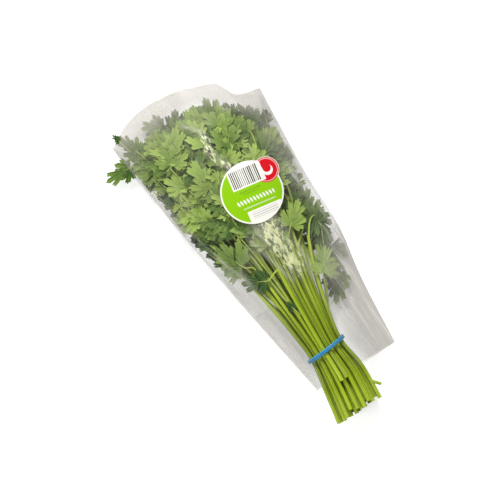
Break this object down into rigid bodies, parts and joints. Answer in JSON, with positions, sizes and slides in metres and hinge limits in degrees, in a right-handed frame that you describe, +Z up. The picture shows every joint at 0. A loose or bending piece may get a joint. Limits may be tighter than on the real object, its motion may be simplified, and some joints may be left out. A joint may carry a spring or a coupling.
{
  "type": "parsley bunch",
  "caption": "Lying bunch of cut flat-leaf parsley held by a rubber band, in a tapered film sleeve open at both ends with a die-cut round label.",
  "frame": {"origin": "middle of the bottom of the whole part's box, on the surface that the bunch lies on", "axes": "+Y from the cut stem ends to the leaf tips, +Z up, +X across the bunch"},
  "size_m": [0.1542, 0.3194, 0.0434],
  "materials": {
    "leaf_green": "fresh green leaf and stem, softly glossy",
    "band_rubber": "matte blue rubber",
    "clear_film": "clear glossy film with a slight milky haze",
    "label_paper": "printed paper, satin"
  },
  "bodies": {
    "root": {"leafy_stem_01": "leaf_green", "leafy_stem_02": "leaf_green", "leafy_stem_03": "leaf_green", "leafy_stem_04": "leaf_green", "leafy_stem_05": "leaf_green", "leafy_stem_06": "leaf_green", "leafy_stem_07": "leaf_green", "leafy_stem_08": "leaf_green", "leafy_stem_09": "leaf_green", "leafy_stem_10": "leaf_green", "leafy_stem_11": "leaf_green", "leafy_stem_12": "leaf_green", "leafy_stem_13": "leaf_green", "leafy_stem_14": "leaf_green", "leafy_stem_15": "leaf_green", "leafy_stem_16": "leaf_green", "leafy_stem_17": "leaf_green", "leafy_stem_18": "leaf_green", "leafy_stem_19": "leaf_green", "leafy_stem_20": "leaf_green", "leafy_stem_21": "leaf_green", "leafy_stem_22": "leaf_green", "leafy_stem_23": "leaf_green", "leafy_stem_24": "leaf_green", "leafy_stem_25": "leaf_green", "leafy_stem_26": "leaf_green", "leafy_stem_27": "leaf_green", "leafy_stem_28": "leaf_green", "leafy_stem_29": "leaf_green", "leafy_stem_30": "leaf_green", "leafy_stem_31": "leaf_green", "leafy_stem_32": "leaf_green", "leafy_stem_33": "leaf_green", "leafy_stem_34": "leaf_green", "leafy_stem_35": "leaf_green", "leafy_stem_36": "leaf_green", "leafy_stem_37": "leaf_green", "rubber_band": "band_rubber", "sleeve": "clear_film", "label": "label_paper"}
  },
  "joints": []
}
